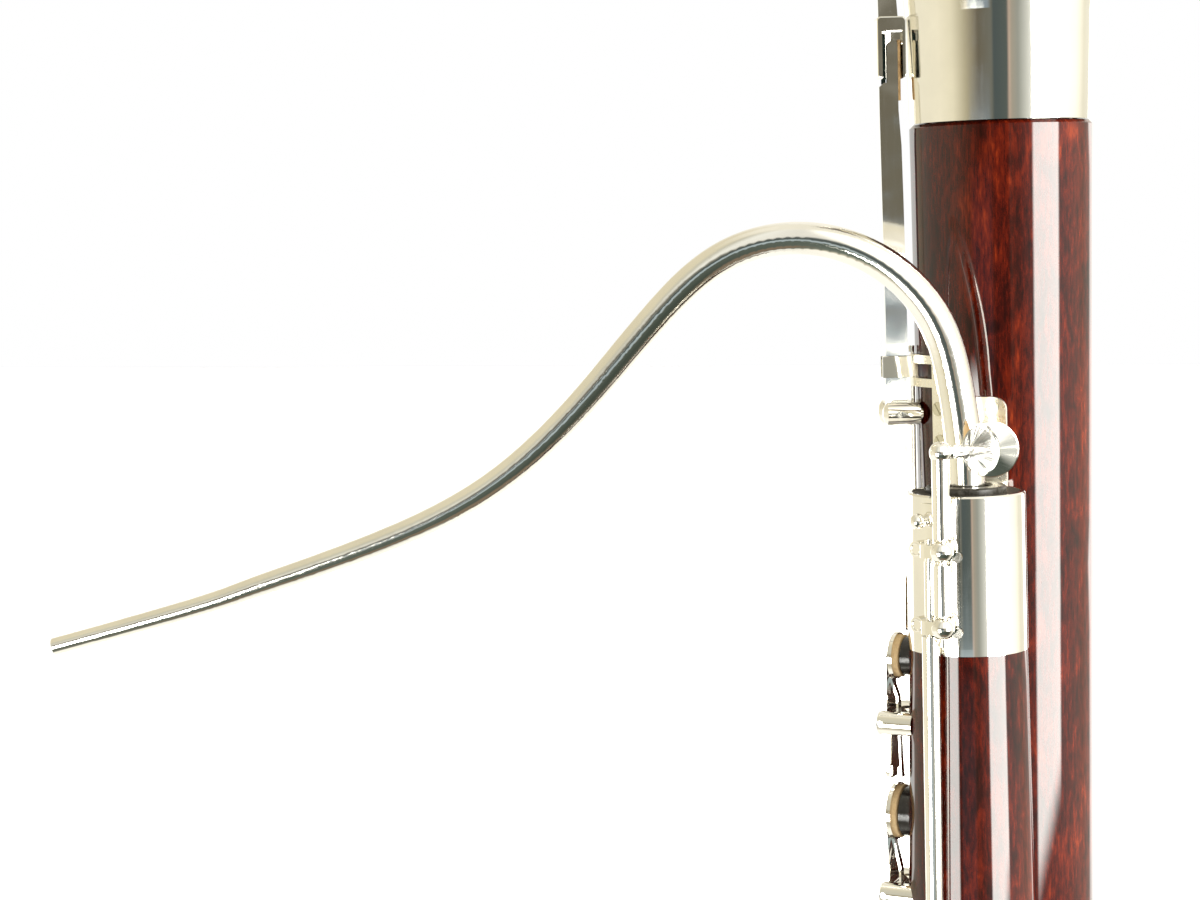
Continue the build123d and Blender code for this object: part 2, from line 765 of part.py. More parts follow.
lever_foot = 598.0
neck_levels = [(level - 3.4, level + 3.4) for level in saddle_levels]
with BuildPart() as lever_rod:
    with Locations((0, 0, lever_foot)):
        Cylinder(2.4, 868.0 - lever_foot, align=raised)
    with Locations((0, 0, 868.0)):
        Cylinder(1.2, 26.0, align=raised)
    with Locations((0, 0, 873.2)):
        Cylinder(1.5, 15.0, align=raised)
    for height in lever_rod_posts:
        with BuildSketch(Plane.XY.offset(height - 3.4)):
            Circle(3.0)
            Circle(0.9, mode=Mode.SUBTRACT)
        extrude(amount=6.8, mode=Mode.SUBTRACT)
    with BuildSketch(Plane.XZ):
        with Locations((9, 637)):
            SlotOverall(38, 12, rotation=90)
        with Locations((4, 637)):
            Rectangle(8, 9)
    extrude(amount=1.0, both=True)
whisper_lever = Location((lever_axis.X, lever_axis.Y, 0), (0, 0, -165)) * lever_rod.part

lever_posts = []
for height in lever_rod_posts:
    post = ball_post(wing_radius(height), lever_rod_radius, True)
    lever_posts.append(stand(post, wing_y, lever_rod_turn, height))


# ------------------------------------------------------------- long joint
with BuildPart() as long_wood:
    with BuildSketch(Plane.XZ):
        with BuildLine():
            Polyline(
                (0, boot_height - long_tenon_length),
                (long_tenon_radius, boot_height - long_tenon_length),
                (long_tenon_radius, boot_height),
                (long_foot_radius, boot_height),
                (long_radius(880), 880),
                (long_radius(long_top - 1), long_top - 1),
                (long_top_radius - 1, long_top),
                (bell_tenon_radius, long_top),
                (bell_tenon_radius, long_top + bell_tenon_length),
                (0, long_top + bell_tenon_length),
                close=True,
            )
        make_face()
    revolve(axis=Axis.Z)
    with BuildSketch(Plane.XY.offset(boot_height - long_tenon_length)):
        Circle(11.2)
    with BuildSketch(Plane.XY.offset(long_top + bell_tenon_length)):
        Circle(16.0)
    loft(mode=Mode.SUBTRACT)
    for key in long_rod_keys:
        spin = Location((0, -long_y, 0)) * key["home"]
        with Locations(spin * key["pad_frame"] * Location((0, 0, key["pad_z"]), (0, 90, 0))):
            Cylinder(key["cup"] - 3.0, 40, align=raised, mode=Mode.SUBTRACT)
        for height in (key["low"] - 3.3, key["high"] + 3.3):
            place = Location((long_radius(height) + 1, 0, height), (0, 90, 0))
            with Locations(spin * place):
                Cylinder(1.6, 5, align=sunk, mode=Mode.SUBTRACT)
    for aside in (-lever_post_aside, lever_post_aside):
        with Locations(radial(0, lever_turn, lever_post_foot + 1, lever_pivot_z, aside)):
            Cylinder(1.6, 5, align=sunk, mode=Mode.SUBTRACT)
    for turn, height in lock_screws:
        with Locations(radial(0, turn, long_radius(height) + 1, height)):
            Cylinder(0.8, 6, align=sunk, mode=Mode.SUBTRACT)
long_joint_wood = on_joint(long_wood.part, long_y, 0)


def long_shell(low, high, thickness):
    """Thin collar that lies on the long joint wood between two heights."""
    with BuildPart() as collar:
        with BuildSketch(Plane.XZ):
            with BuildLine():
                Polyline(
                    (long_radius(low), low),
                    (long_radius(high), high),
                    (long_radius(high) + thickness, high),
                    (long_radius(low) + thickness, low),
                    close=True,
                )
            make_face()
        revolve(axis=Axis.Z)
    return collar.part


long_joint_ring = on_joint(long_shell(boot_height + 0.2, 439.8, 0.8), long_y, 0)

with BuildPart() as long_tenon_winding:
    with Locations((0, long_y, boot_height - 6)):
        Cylinder(long_tenon_radius + 1.2, long_tenon_length - 12, align=sunk)
        Cylinder(
            long_tenon_radius, long_tenon_length - 12, align=sunk, mode=Mode.SUBTRACT
        )

with BuildPart() as bell_tenon_winding:
    with Locations((0, long_y, long_top + 4)):
        Cylinder(bell_tenon_radius + 1.0, bell_tenon_length - 8, align=raised)
        Cylinder(
            bell_tenon_radius, bell_tenon_length - 8, align=raised, mode=Mode.SUBTRACT
        )

plate_turn = 261.0
with BuildPart() as lock_outline:
    with BuildSketch(Plane.YZ.offset(18)):
        with BuildLine():
            Polyline(
                (-11.8, 893),
                (10.6, 893),
                (10.6, 929.3),
                (-6.3, 929.3),
                (-6.3, 939),
                (-11.8, 939),
                close=True,
            )
        make_face()
        fillet(vertices().group_by(Axis.X)[-1].sort_by(Axis.Y)[-1:], 3.4)
    extrude(amount=12)
    for turn, height in lock_screws:
        with Locations(radial(0, turn - plate_turn, 20, height)):
            Cylinder(1.0, 12, align=raised, mode=Mode.SUBTRACT)
        sink = long_radius(height) + 0.5
        with Locations(radial(0, turn - plate_turn, sink, height)):
            Cylinder(2.2, 6, align=raised, mode=Mode.SUBTRACT)
lock_sheet = long_shell(880.0, 945.0, 0.95)
body_lock_plate = on_joint(lock_outline.part & lock_sheet, long_y, plate_turn)
body_lock_plate = body_lock_plate - long_joint_wood

lock_plate_screws = []
for turn, height in lock_screws:
    with BuildPart() as screw:
        seat = long_radius(height) + 0.5
        with Locations(radial(0, turn, seat, height)):
            Cylinder(1.95, 1.0, align=raised)
            Cylinder(0.7, 5, align=sunk)
        slot = radial(0, turn, seat + 1.0, height) * Location((0, 0, 0), (0, 0, 35))
        with Locations(slot):
            Box(5, 0.5, 0.6, mode=Mode.SUBTRACT)
    lock_plate_screws.append(on_joint(screw.part, long_y, 0))

lock_rod_turn = lever_turn
lock_rod_reach = 26.25
with BuildPart() as lock_rod_guide:
    for height in (939.4, 932.8):
        surface = long_radius(height)
        with BuildSketch(Plane.XY.offset(height - 1.2)):
            with BuildLine():
                inner = CenterArc((0, 0), surface + 0.02, lock_rod_turn - 3, 38)
                outer = CenterArc((0, 0), surface + 1.7, lock_rod_turn - 3, 38)
                Line(inner @ 0, outer @ 0)
                Line(inner @ 1, outer @ 1)
            make_face()
        extrude(amount=2.4)
    with Locations(spot(0, lock_rod_turn, lock_rod_reach, 936)):
        Cylinder(0.62, 20, mode=Mode.SUBTRACT)
lock_guide = on_joint(lock_rod_guide.part - long_wood.part, long_y, 0)

with BuildPart() as lock_rod:
    with Locations(spot(long_y, lock_rod_turn, lock_rod_reach, 866)):
        Cylinder(0.56, 77.0, align=raised)
    with Locations(spot(long_y, lock_rod_turn, lock_rod_reach + 0.35, 941.2)):
        Cylinder(0.8, 1.8, align=raised)


# ------------------------------------------------------------------- bell
with BuildPart() as bell_wood_piece:
    with BuildSketch(Plane.XZ):
        with BuildLine():
            a = Polyline(
                (bell_tenon_radius + 1.0, long_top + 0.2),
                (bell_tenon_radius + 3.0, long_top + 0.2),
                (bell_tenon_radius + 5.0, bell_band_top),
                (28.6, bell_band_top),
            )
            b = Spline(
                a @ 1,
                (29.3, 1095),
                (28.1, 1150),
                (24.4, 1235),
                (24.6, 1265),
                (30.0, bell_top - 12),
                tangents=((0.08, 1), (0.6, 1)),
            )
            c = Polyline(b @ 1, (28.8, bell_top - 12), (28.8, bell_top - 1), (25.6, bell_top - 1))
            d = Spline(
                c @ 1,
                (19.0, bell_top - 40),
                (16.6, 1200),
                (16.0, long_top + bell_tenon_length + 0.2),
                tangents=((-0.6, -1), (0, -1)),
            )
            e = Line(d @ 1, (bell_tenon_radius + 1.0, long_top + bell_tenon_length + 0.2))
            Line(e @ 1, a @ 0)
        make_face()
    revolve(axis=Axis.Z)
    with Locations(radial(0, lever_turn, 10, 1160)):
        Cylinder(7.5, 40, align=raised, mode=Mode.SUBTRACT)
    for aside in (-lever_post_aside, lever_post_aside):
        with Locations(radial(0, lever_turn, bell_post_foot + 1, bell_pivot_z, aside)):
            Cylinder(1.6, 5, align=sunk, mode=Mode.SUBTRACT)
bell_wood = on_joint(bell_wood_piece.part, long_y, 0)

with BuildPart() as bell_band_piece:
    with BuildSketch(Plane.XZ):
        with BuildLine():
            Polyline(
                (bell_tenon_radius + 3.0, long_top + 0.2),
                (26.0, long_top + 0.2),
                (26.8, 1036),
                (28.6, bell_band_top - 1),
                (28.9, bell_band_top),
                (28.6, bell_band_top),
                (bell_tenon_radius + 5.0, bell_band_top),
                close=True,
            )
        make_face()
    revolve(axis=Axis.Z)
bell_band = on_joint(bell_band_piece.part, long_y, 0)

with BuildPart() as bell_ring_piece:
    with BuildSketch(Plane.XZ):
        with BuildLine():
            Polyline(
                (28.8, bell_top - 12),
                (31.0, bell_top - 12),
                (31.8, bell_top - 2),
                (30.8, bell_top),
                (26.4, bell_top),
                (25.6, bell_top - 1),
                (28.8, bell_top - 1),
                close=True,
            )
        make_face()
    revolve(axis=Axis.Z)
bell_ring = on_joint(bell_ring_piece.part, long_y, 0)


# ------------------------------------------- low B-flat key and its lever
bell_pad_open = 2.66
bell_face = 28.9
with BuildPart() as bell_bar:
    with BuildSketch(Plane.XZ):
        with BuildLine():
            Polyline(
                (29.0, 1034),
                (30.2, 1052),
                (31.0, 1095),
                (31.4, 1110),
                (34.0, 1148),
                (34.4, 1164),
                (36.6, 1164),
                (37.0, 1148),
                (36.4, 1112),
                (36.2, 1095),
                (34.9, 1052),
                (34.6, 1034),
                close=True,
            )
        make_face()
    extrude(amount=1.0, both=True)
    with Locations(Location((bell_pin_radius, 0, bell_pivot_z), (90, 0, 0))):
        Cylinder(2.8, 2.8)
        Cylinder(hinge_bore_radius, 6, mode=Mode.SUBTRACT)
with BuildPart() as stirrup:
    with BuildSketch(Plane.XZ):
        with Locations((31.3, 1027.6)):
            RectangleRounded(8.2, 17.4, 1.2)
    extrude(amount=2.9, both=True)
    fillet(stirrup.faces().filter_by(Axis.Y).edges(), 0.4)
    with Locations((31.0, 0.7, 1023.6)):
        Box(5.8, 4.8, 17.4, mode=Mode.SUBTRACT)
bell_cup = tip(cup_shape(bell_face, 11.0, 1160), bell_pin_radius, bell_pivot_z, bell_pad_open)
bell_key = on_joint(bell_bar.part + stirrup.part + bell_cup, long_y, lever_turn)
bell_key_pad = on_joint(
    tip(pad_shape(bell_face, 11.0, 1160), bell_pin_radius, bell_pivot_z, bell_pad_open),
    long_y,
    lever_turn,
)

with BuildPart() as flat_lever:
    with BuildSketch(Plane.XZ):
        with BuildLine():
            Polyline(
                (29.3, 1029.5),
                (29.3, 1010),
                (28.6, 1000),
                (28.3, 985),
                (27.8, 947),
                (28.4, 913),
                (29.6, 871),
                (31.0, 797),
                (34.2, 700),
                (35.6, 655),
                (35.6, 625),
                (37.2, 625),
                (37.4, 655),
                (38.2, 700),
                (37.6, 797),
                (36.6, 871),
                (34.6, 913),
                (33.9, 947),
                (34.4, 985),
                (34.7, 1010),
                (34.7, 1016.6),
                (33.4, 1017.8),
                (32.4, 1017.8),
                (32.4, 1029.5),
                close=True,
            )
        make_face()
        fillet(vertices().sort_by(Axis.Y)[-2:], 1.4)
    extrude(amount=1.0, both=True)
    with Locations(Location((lever_pin_radius, 0, lever_pivot_z), (90, 0, 0))):
        Cylinder(2.8, 2.8)
        Cylinder(hinge_bore_radius, 6, mode=Mode.SUBTRACT)
    with BuildSketch(Plane.YZ.offset(35.8)):
        with Locations((0, 634)):
            SlotOverall(34, 13, rotation=90)
    extrude(amount=1.7)
long_b_flat_lever = on_joint(flat_lever.part, long_y, lever_turn)

with BuildPart() as lever_cork_strip:
    with Locations((28.95, 0, 1021.3)):
        Box(0.7, 2.0, 17.0)
lever_cork = on_joint(lever_cork_strip.part, long_y, lever_turn)

with BuildPart() as lever_guide_piece:
    for aside in (-2.1, 2.1):
        with Locations((30.0, aside, 937)):
            Box(10.4, 1.2, 6.0)
lever_guide = on_joint(lever_guide_piece.part - long_wood.part, long_y, lever_turn)
lever_guide = lever_guide - lock_guide


# ------------------------------------------------- posts, rods and rod keys
long_posts = []
for aside in (-lever_post_aside, lever_post_aside):
    post = pillar_post(lever_post_foot, lever_pin_radius, 36.0)
    long_posts.append(stand(post, long_y, lever_turn, lever_pivot_z, aside))
bell_posts = []
for aside in (-lever_post_aside, lever_post_aside):
    post = pillar_post(bell_post_foot, bell_pin_radius, 38.4)
    bell_posts.append(stand(post, long_y, lever_turn, bell_pivot_z, aside))
for key in long_rod_keys:
    for height in (key["low"] - 3.3, key["high"] + 3.3):
        post = ball_post(long_radius(height), key["surface"] + hinge_stand, True)
        long_posts.append(key["home"] * Location((0, 0, height)) * post)
boot_posts = []
for key in boot_rod_keys:
    for height in (key["low"] - 3.3, key["high"] + 3.3):
        post = ball_post(boot_radius, boot_radius + hinge_stand, True)
        boot_posts.append(key["home"] * Location((0, 0, height)) * post)
for aside in (-rocker_post_aside, rocker_post_aside):
    post = pillar_post(boot_radius, boot_thumb_pin_x, boot_thumb_pin_x + 2.4)
    boot_posts.append(boot_back * Location((0, aside, boot_thumb_pivot_z)) * post)


def upright_rods(keys):
    """Steel rods through the hinge tubes of several keys."""
    rods = []
    for key in keys:
        with BuildPart() as rod:
            low = key["low"] - 5.8
            with Locations((key["surface"] + hinge_stand, 0, low)):
                Cylinder(hinge_rod_radius, key["high"] + 5.8 - low, align=raised)
        rods.append(key["home"] * rod.part)
    return rods


def cross_pin(radius, height, length):
    """Pin that carries a rocker key, across the local X axis."""
    with BuildPart() as pin:
        with Locations(Location((radius, 0, height), (90, 0, 0))):
            Cylinder(hinge_rod_radius, length)
    return pin.part


long_hinge_rods = upright_rods(long_rod_keys)
boot_hinge_rods = upright_rods(boot_rod_keys)
rocker_pins = [
    on_joint(cross_pin(lever_pin_radius, lever_pivot_z, 14), long_y, lever_turn),
    on_joint(cross_pin(bell_pin_radius, bell_pivot_z, 14), long_y, lever_turn),
    boot_back * cross_pin(boot_thumb_pin_x, boot_thumb_pivot_z, 21),
]
for pad_z, pivot_z, cup, face in flick_stations:
    rocker_pins.append(on_joint(cross_pin(flick_pivot, pivot_z, 21), wing_y, flick_turn))

boot_thumb_key = boot_back * rocker_key(
    boot_radius + seat_gap,
    7.5,
    boot_thumb_pad_z,
    boot_thumb_pin_x,
    boot_thumb_pivot_z,
    boot_radius + 4.6,
    boot_thumb_pivot_z - 13,
)
boot_thumb_pad = boot_back * pad_shape(boot_radius + seat_gap, 7.5, boot_thumb_pad_z)


# ------------------------------------------------------------------ bocal
with BuildPart() as bocal:
    with BuildLine(Plane.XZ) as bend_line:
        stem = Line((0, 881), (0, 906))
        curve = Spline(
            stem @ 1,
            (2.4, 932.6),
            (7.4, 951.1),
            (22.6, 968.0),
            (42.9, 974.7),
            (63.5, 971.0),
            (84.8, 953.8),
            (106.6, 929.8),
            (128.6, 910.3),
            (158.2, 894.4),
            (203.3, 878.7),
            (256.3, 863.6),
            tangents=((0, 1), (1, -0.26)),
        )
    base = Plane(curve @ 0, z_dir=curve % 0)
    tip_plane = Plane(curve @ 1, z_dir=curve % 1)
    with BuildSketch(base):
        Circle(bocal_base_radius)
    with BuildSketch(tip_plane):
        Circle(bocal_tip_radius)
    sweep(path=curve, multisection=True)
    with BuildSketch(tip_plane):
        Circle(bocal_tip_radius)
    extrude(amount=9)
    with BuildSketch(base):
        Circle(bocal_base_radius)
    extrude(amount=-25)
    with BuildSketch(base):
        Circle(bocal_base_radius - bocal_wall)
    with BuildSketch(tip_plane):
        Circle(bocal_tip_radius - bocal_wall)
    sweep(path=curve, multisection=True, mode=Mode.SUBTRACT)
    with BuildSketch(tip_plane):
        Circle(bocal_tip_radius - bocal_wall)
    extrude(amount=9, mode=Mode.SUBTRACT)
    with BuildSketch(base):
        Circle(bocal_base_radius - bocal_wall)
    extrude(amount=-25, mode=Mode.SUBTRACT)
bocal_tube = on_joint(bocal.part, wing_y, bocal_turn)

with BuildPart() as pip_piece:
    with Locations(radial(wing_y, whisper_turn, 3.0, whisper_z)):
        Cylinder(2.2, 3.4, align=raised)
        Cylinder(1.4, pip_reach - 3.0, align=raised)
        Cylinder(0.6, 12, align=raised, mode=Mode.SUBTRACT)
bocal_pip = (pip_piece.part - bocal_tube).solids().sort_by(SortBy.VOLUME)[-1]

with BuildPart() as bocal_cork:
    with Locations((0, wing_y, 881)):
        Cylinder(6.45, 23, align=raised)
        Cylinder(bocal_base_radius, 23, align=raised, mode=Mode.SUBTRACT)


# ----------------------------------------------------------------- export
pieces = {
    "boot_wood": boot_wood.part,
    "boot_cap": boot_cap.part,
    "boot_band": boot_band.part,
    "bow_gasket": bow_plate_gasket.part,
    "u_tube": u_tube.part,
    "strap_ring": strap_ring.part,
    "wing_joint_wood": wing_joint_wood,
    "wing_lining": on_joint(wing_lining.part, wing_y, 0),
    "wing_cap": on_joint(wing_cap.part, wing_y, 0),
    "bocal_collar": on_joint(bocal_collar.part, wing_y, 0),
    "tenon_windings": group(
        [
            on_joint(wing_tenon_winding.part, wing_y, 0),
            long_tenon_winding.part,
            bell_tenon_winding.part,
        ]
    ),
    "flick_tone_bushes": group(tone_bushes),
    "wing_posts": group(flick_posts + lever_posts),
    "whisper_saddle": whisper_saddle.part,
    "whisper_key": whisper_key,
    "whisper_pad": whisper_pad,
    "whisper_lever": whisper_lever,
    "flick_key_upper": flick_keys[0],
    "flick_pad_upper": flick_pads[0],
    "flick_key_lower": flick_keys[1],
    "flick_pad_lower": flick_pads[1],
    "long_joint_wood": long_joint_wood,
    "long_joint_ring": long_joint_ring,
    "body_lock_plate": group([body_lock_plate, lock_guide]),
    "lock_plate_screws": group(lock_plate_screws),
    "lock_rod": lock_rod.part,
    "long_joint_posts": group(long_posts),
    "lever_guide": lever_guide,
    "long_b_flat_lever": long_b_flat_lever,
    "lever_cork": lever_cork,
    "rocker_pins": group(rocker_pins),
    "bell_wood": bell_wood,
    "bell_band": bell_band,
    "bell_ring": bell_ring,
    "bell_posts": group(bell_posts),
    "bell_key": bell_key,
    "bell_key_pad": bell_key_pad,
    "boot_posts": group(boot_posts),
    "hinge_rods": group(long_hinge_rods + boot_hinge_rods),
    "boot_thumb_key": boot_thumb_key,
    "boot_thumb_pad": boot_thumb_pad,
    "bocal_tube": bocal_tube,
    "bocal_pip": bocal_pip,
    "bocal_cork": bocal_cork.part,
}
rod_keys = {
    "low_b": low_b,
    "low_c": low_c,
    "low_d": low_d,
    "e_flat": e_flat,
    "boot_f": boot_f,
    "boot_a_flat": boot_a_flat,
    "boot_g": boot_g,
    "boot_e": boot_e,
}
for name, key in rod_keys.items():
    pieces[name + "_key"] = on_key_axis(rod_key(key), key)
    pieces[name + "_pad"] = on_key_axis(rod_pad(key), key)

for name, piece in pieces.items():
    piece.label = name
    export_step(piece, "parts/" + name + ".step")
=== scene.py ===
import json
import math

import bpy
from mathutils import Matrix, Vector


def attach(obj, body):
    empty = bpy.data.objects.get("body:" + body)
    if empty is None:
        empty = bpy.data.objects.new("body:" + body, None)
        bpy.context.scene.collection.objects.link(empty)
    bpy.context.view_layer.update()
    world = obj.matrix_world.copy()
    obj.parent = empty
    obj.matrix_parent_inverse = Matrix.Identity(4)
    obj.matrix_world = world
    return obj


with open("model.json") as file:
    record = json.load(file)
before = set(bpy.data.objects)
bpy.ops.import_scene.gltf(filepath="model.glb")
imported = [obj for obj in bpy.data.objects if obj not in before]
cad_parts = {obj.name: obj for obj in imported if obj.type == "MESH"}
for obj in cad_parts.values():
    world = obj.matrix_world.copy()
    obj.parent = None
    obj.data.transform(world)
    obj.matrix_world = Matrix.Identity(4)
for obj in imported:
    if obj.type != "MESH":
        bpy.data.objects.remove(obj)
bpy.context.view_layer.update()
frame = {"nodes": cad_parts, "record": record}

NODES = frame["nodes"]
SLOT_OF = {row["node"]: row["material_slot"] for row in frame["record"]["subparts"]}


# ------------------------------------------------------------------ shader kit
class Shader:
    """Builds one node tree with short calls."""

    def __init__(self, tree):
        self.tree = tree

    def add(self, kind, inputs=(), **settings):
        node = self.tree.nodes.new(kind)
        for key, value in settings.items():
            setattr(node, key, value)
        for key, value in dict(inputs).items():
            socket = node.inputs[key]
            if isinstance(value, bpy.types.NodeSocket):
                self.tree.links.new(value, socket)
            else:
                socket.default_value = value
        return node

    def math(self, operation, a, b=0.0, clamp=False):
        node = self.add("ShaderNodeMath", {0: a, 1: b}, operation=operation)
        node.use_clamp = clamp
        return node.outputs[0]

    def ramp(self, value, stops, mode="LINEAR"):
        node = self.add("ShaderNodeValToRGB", {"Fac": value})
        ramp = node.color_ramp
        ramp.interpolation = mode
        while len(ramp.elements) > 1:
            ramp.elements.remove(ramp.elements[-1])
        for i, (place, colour) in enumerate(stops):
            stop = ramp.elements[0] if i == 0 else ramp.elements.new(place)
            stop.position = place
            grey = isinstance(colour, (int, float))
            stop.color = (colour,) * 3 + (1,) if grey else tuple(colour) + (1,)
        return node.outputs["Color"]

    def span(self, value, low, high, to_low=0.0, to_high=1.0):
        node = self.add(
            "ShaderNodeMapRange",
            {"Value": value, "From Min": low, "From Max": high,
             "To Min": to_low, "To Max": to_high},
            interpolation_type="SMOOTHSTEP",
        )
        return node.outputs[0]

    def mix(self, share, a, b, blend="MIX"):
        node = self.add("ShaderNodeMix", data_type="RGBA", blend_type=blend)
        for key, value in ((0, share), (6, a), (7, b)):
            if isinstance(value, bpy.types.NodeSocket):
                self.tree.links.new(value, node.inputs[key])
            elif key == 0:
                node.inputs[0].default_value = value
            else:
                node.inputs[key].default_value = tuple(value) + (1,)
        return node.outputs[2]

    def noise(self, scale, detail=3.0, stretch=(1, 1, 1), rough=0.5, twist=0.0):
        where = self.add("ShaderNodeTexCoord").outputs["Object"]
        placed = self.add("ShaderNodeMapping", {"Vector": where, "Scale": stretch})
        node = self.add(
            "ShaderNodeTexNoise",
            {"Vector": placed.outputs[0], "Scale": scale, "Detail": detail,
             "Roughness": rough, "Distortion": twist},
        )
        return node.outputs["Fac"]

    def bump(self, height, strength, distance, normal=None):
        inputs = {"Height": height, "Strength": strength, "Distance": distance}
        if normal is not None:
            inputs["Normal"] = normal
        return self.add("ShaderNodeBump", inputs).outputs[0]


def material(name, colour):
    """New principled material; returns it with its shader kit and main node."""
    made = bpy.data.materials.new(name)
    made.use_nodes = True
    tree = made.node_tree
    main = tree.nodes["Principled BSDF"]
    made.diffuse_color = tuple(colour) + (1,)
    return made, Shader(tree), main


def link(kit, value, node, key):
    """Feed a socket of the main shader node."""
    kit.tree.links.new(value, node.inputs[key])


def shade(tint, share):
    """The same colour, darker."""
    return tuple(c * share for c in tint)


LEVER_TURN = math.radians(205.0)
LONG_AXIS_Y = 0.0215
WHISPER_TURN = math.radians(-71.0)
WHISPER_OUT = Vector((math.cos(WHISPER_TURN), math.sin(WHISPER_TURN), 0))
CUP_PEAK = tuple(Vector((0.0, -0.0215, 0.9175)) + 0.0133 * WHISPER_OUT)
# radii (m) across which the painted shade on the cup's cone gives way to the plain silver rim
CUP_CONE = (0.0070, 0.0073)
CUP_EDGE = (0.0076, 0.0084)
CUP_LEAN = 1.2
WARM_SILVER = (0.95, 0.925, 0.86)


def slanted_sides(kit, slope):
    """Height that leans a lever's flat sides outwards by a constant slope."""
    where = kit.add("ShaderNodeTexCoord").outputs["Object"]
    parts = kit.add("ShaderNodeSeparateXYZ", {0: where}).outputs
    along_x = kit.math("MULTIPLY", parts[0], math.cos(LEVER_TURN))
    along_y = kit.math("SUBTRACT", parts[1], LONG_AXIS_Y)
    along_y = kit.math("MULTIPLY", along_y, math.sin(LEVER_TURN))
    return kit.math("MULTIPLY", kit.math("ADD", along_x, along_y), -slope)


def silver(name, tint, rough_low, rough_high, scratch, wave=0.0, slope=0.0):
    """Silver plate: warm, with faint polishing lines, haze and finger marks."""
    made, kit, main = material(name, tint)
    haze = kit.noise(38.0, 4.0, rough=0.6)
    lines = kit.noise(420.0, 5.0, stretch=(1, 1, 0.06), rough=0.7)
    cross = kit.noise(900.0, 3.0, stretch=(0.25, 0.25, 1.6), rough=0.6)
    patchy = kit.span(haze, 0.35, 0.72)
    link(kit, kit.mix(patchy, tint, shade(tint, 0.93)), main, "Base Color")
    main.inputs["Metallic"].default_value = 1.0
    rough = kit.math("MULTIPLY", patchy, rough_high - rough_low)
    rough = kit.math("ADD", rough, rough_low)
    streak = kit.math("MULTIPLY", kit.span(lines, 0.45, 0.8), 0.05)
    link(kit, kit.math("ADD", rough, streak), main, "Roughness")
    height = kit.math("ADD", lines, kit.math("MULTIPLY", cross, 0.6))
    normal = kit.bump(height, scratch, 0.00002)
    if wave:
        normal = kit.bump(kit.noise(46.0, 2.0, rough=0.4), 1.0, wave, normal)
    if slope:
        normal = kit.bump(slanted_sides(kit, slope), 1.0, 1.0, normal)
    link(kit, normal, main, "Normal")
    return made


def turned_silver(name, tint):
    """Silver cup finished on a lathe: fine lines run from its peak to the rim. The cone inside the
    rim is painted darker, streaked along those lines, as painted shade for the cup face's darker
    reflections.
    """
    made, kit, main = material(name, tint)
    where = kit.add("ShaderNodeTexCoord").outputs["Object"]
    across = kit.add(
        "ShaderNodeVectorMath", {0: where, 1: CUP_PEAK}, operation="SUBTRACT"
    ).outputs[0]
    parts = kit.add("ShaderNodeSeparateXYZ", {0: across}).outputs
    side = kit.math(
        "ADD",
        kit.math("MULTIPLY", parts[0], -math.sin(WHISPER_TURN)),
        kit.math("MULTIPLY", parts[1], math.cos(WHISPER_TURN)),
    )
    angle = kit.math("ARCTAN2", side, parts[2])
    spokes = kit.add(
        "ShaderNodeTexNoise",
        {"W": angle, "Scale": 9.0, "Detail": 4.0, "Roughness": 0.7},
        noise_dimensions="1D",
    ).outputs["Fac"]
    broad = kit.add(
        "ShaderNodeTexNoise",
        {"W": angle, "Scale": 1.6, "Detail": 1.0},
        noise_dimensions="1D",
    ).outputs["Fac"]
    near = kit.add("ShaderNodeVectorMath", {0: across}, operation="LENGTH").outputs["Value"]
    cup_only = kit.span(near, *CUP_EDGE, 1.0, 0.0)
    # painted shade: the cone's silver is darkened to 0.50-0.64 of its colour and streaked along the
    # lathe lines, while the rim keeps the plain silver
    painted_cone_shade = kit.mix(spokes, shade(tint, 0.50), shade(tint, 0.64))
    cone_only = kit.span(near, *CUP_CONE, 1.0, 0.0)
    link(kit, kit.mix(cone_only, tint, painted_cone_shade), main, "Base Color")
    main.inputs["Metallic"].default_value = 1.0
    link(kit, kit.span(spokes, 0.3, 0.7, 0.07, 0.17), main, "Roughness")
    height = kit.math("ADD", kit.math("MULTIPLY", spokes, 0.35), broad)
    height = kit.math("MULTIPLY", height, near)
    height = kit.math("SUBTRACT", height, kit.math("MULTIPLY", side, CUP_LEAN))
    height = kit.math("MULTIPLY", height, cup_only)
    link(kit, kit.bump(height, 1.0, 0.10), main, "Normal")
    return made


